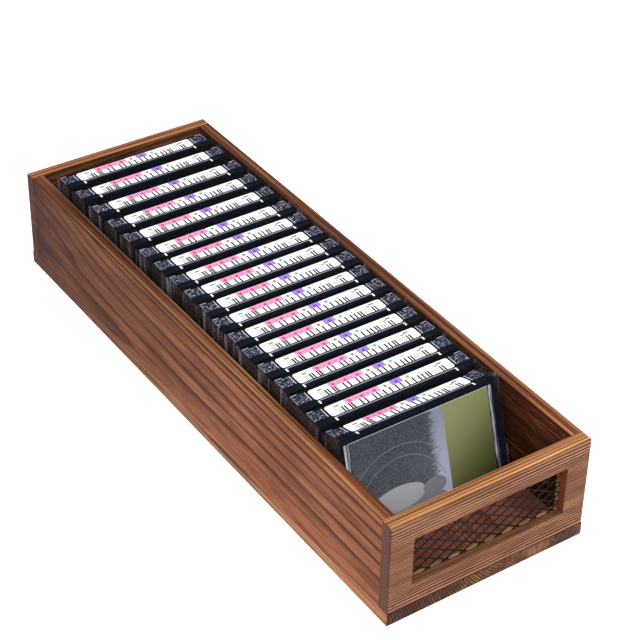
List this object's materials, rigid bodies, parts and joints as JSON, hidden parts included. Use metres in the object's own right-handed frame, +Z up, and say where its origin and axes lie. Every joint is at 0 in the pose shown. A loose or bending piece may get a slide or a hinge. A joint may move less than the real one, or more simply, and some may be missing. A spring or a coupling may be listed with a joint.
{
  "type": "cassette storage drawer",
  "caption": "Long open-topped wooden drawer with a mesh window in its front panel, filled with a row of compact-cassette cases standing on edge, spines up.",
  "frame": {"origin": "middle of the underside of the base board", "axes": "+X to the right seen from the window end, +Y to the back along the length, +Z up"},
  "size_m": [0.135, 0.41, 0.0803],
  "materials": {
    "board": "scorched and oiled pine",
    "wire": "dull expanded steel",
    "steel": "bright",
    "case_black": "gloss",
    "case_clear": "clear, slightly smoked",
    "card": "printed card",
    "shell": "fine grained",
    "core": "plain",
    "tape": "wound tape",
    "pane": "clear"
  },
  "bodies": {
    "tray": {"base_board": "board", "left_side_panel": "board", "right_side_panel": "board", "back_panel": "board", "front_panel": "board", "window_mesh": "wire", "panel_brads": "steel", "base_brads": "steel"},
    "case_01": {"case_01_base": "case_black", "case_01_lid": "case_clear"},
    "case_02": {"case_02_base": "case_black", "case_02_lid": "case_clear"},
    "case_03": {"case_03_base": "case_black", "case_03_lid": "case_clear"},
    "case_04": {"case_04_base": "case_black", "case_04_lid": "case_clear"},
    "case_05": {"case_05_base": "case_black", "case_05_lid": "case_clear"},
    "case_06": {"case_06_base": "case_black", "case_06_lid": "case_clear"},
    "case_07": {"case_07_base": "case_black", "case_07_lid": "case_clear"},
    "case_08": {"case_08_base": "case_black", "case_08_lid": "case_clear"},
    "case_09": {"case_09_base": "case_black", "case_09_lid": "case_clear"},
    "case_10": {"case_10_base": "case_black", "case_10_lid": "case_clear"},
    "case_11": {"case_11_base": "case_black", "case_11_lid": "case_clear"},
    "case_12": {"case_12_base": "case_black", "case_12_lid": "case_clear"},
    "case_13": {"case_13_base": "case_black", "case_13_lid": "case_clear"},
    "case_14": {"case_14_base": "case_black", "case_14_lid": "case_clear"},
    "case_15": {"case_15_base": "case_black", "case_15_lid": "case_clear"},
    "case_16": {"case_16_base": "case_black", "case_16_lid": "case_clear"},
    "case_17": {"case_17_base": "case_black", "case_17_lid": "case_clear"},
    "front_case": {"front_case_base": "case_black", "cassette_front_half": "shell", "cassette_back_half": "shell", "cassette_left_core": "core", "cassette_right_core": "core", "cassette_full_tape": "tape", "cassette_short_tape": "tape", "cassette_rollers": "core", "cassette_panes": "pane", "cassette_screws": "steel"},
    "front_lid": {"front_case_lid": "case_clear", "front_case_card": "card"}
  },
  "joints": [
    {"name": "case_01_lift", "type": "slide", "parent": "tray", "child": "case_01", "axis": [0, 0, 1], "range_m": [0, 0.08]},
    {"name": "case_02_lift", "type": "slide", "parent": "tray", "child": "case_02", "axis": [0, 0, 1], "range_m": [0, 0.08]},
    {"name": "case_03_lift", "type": "slide", "parent": "tray", "child": "case_03", "axis": [0, 0, 1], "range_m": [0, 0.08]},
    {"name": "case_04_lift", "type": "slide", "parent": "tray", "child": "case_04", "axis": [0, 0, 1], "range_m": [0, 0.08]},
    {"name": "case_05_lift", "type": "slide", "parent": "tray", "child": "case_05", "axis": [0, 0, 1], "range_m": [0, 0.08]},
    {"name": "case_06_lift", "type": "slide", "parent": "tray", "child": "case_06", "axis": [0, 0, 1], "range_m": [0, 0.08]},
    {"name": "case_07_lift", "type": "slide", "parent": "tray", "child": "case_07", "axis": [0, 0, 1], "range_m": [0, 0.08]},
    {"name": "case_08_lift", "type": "slide", "parent": "tray", "child": "case_08", "axis": [0, 0, 1], "range_m": [0, 0.08]},
    {"name": "case_09_lift", "type": "slide", "parent": "tray", "child": "case_09", "axis": [0, 0, 1], "range_m": [0, 0.08]},
    {"name": "case_10_lift", "type": "slide", "parent": "tray", "child": "case_10", "axis": [0, 0, 1], "range_m": [0, 0.08]},
    {"name": "case_11_lift", "type": "slide", "parent": "tray", "child": "case_11", "axis": [0, 0, 1], "range_m": [0, 0.08]},
    {"name": "case_12_lift", "type": "slide", "parent": "tray", "child": "case_12", "axis": [0, 0, 1], "range_m": [0, 0.08]},
    {"name": "case_13_lift", "type": "slide", "parent": "tray", "child": "case_13", "axis": [0, 0, 1], "range_m": [0, 0.08]},
    {"name": "case_14_lift", "type": "slide", "parent": "tray", "child": "case_14", "axis": [0, 0, 1], "range_m": [0, 0.08]},
    {"name": "case_15_lift", "type": "slide", "parent": "tray", "child": "case_15", "axis": [0, 0, 1], "range_m": [0, 0.08]},
    {"name": "case_16_lift", "type": "slide", "parent": "tray", "child": "case_16", "axis": [0, 0, 1], "range_m": [0, 0.08]},
    {"name": "case_17_lift", "type": "slide", "parent": "tray", "child": "case_17", "axis": [0, 0, 1], "range_m": [0, 0.08]},
    {"name": "front_case_lift", "type": "slide", "parent": "tray", "child": "front_case", "axis": [0, 0, 1], "range_m": [0, 0.08]},
    {"name": "front_lid_hinge", "type": "hinge", "parent": "front_case", "child": "front_lid", "pos_m": [-0.0034, -0.13047, 0.07342], "axis": [-1, 0, 0], "range_deg": [0, 80]}
  ]
}
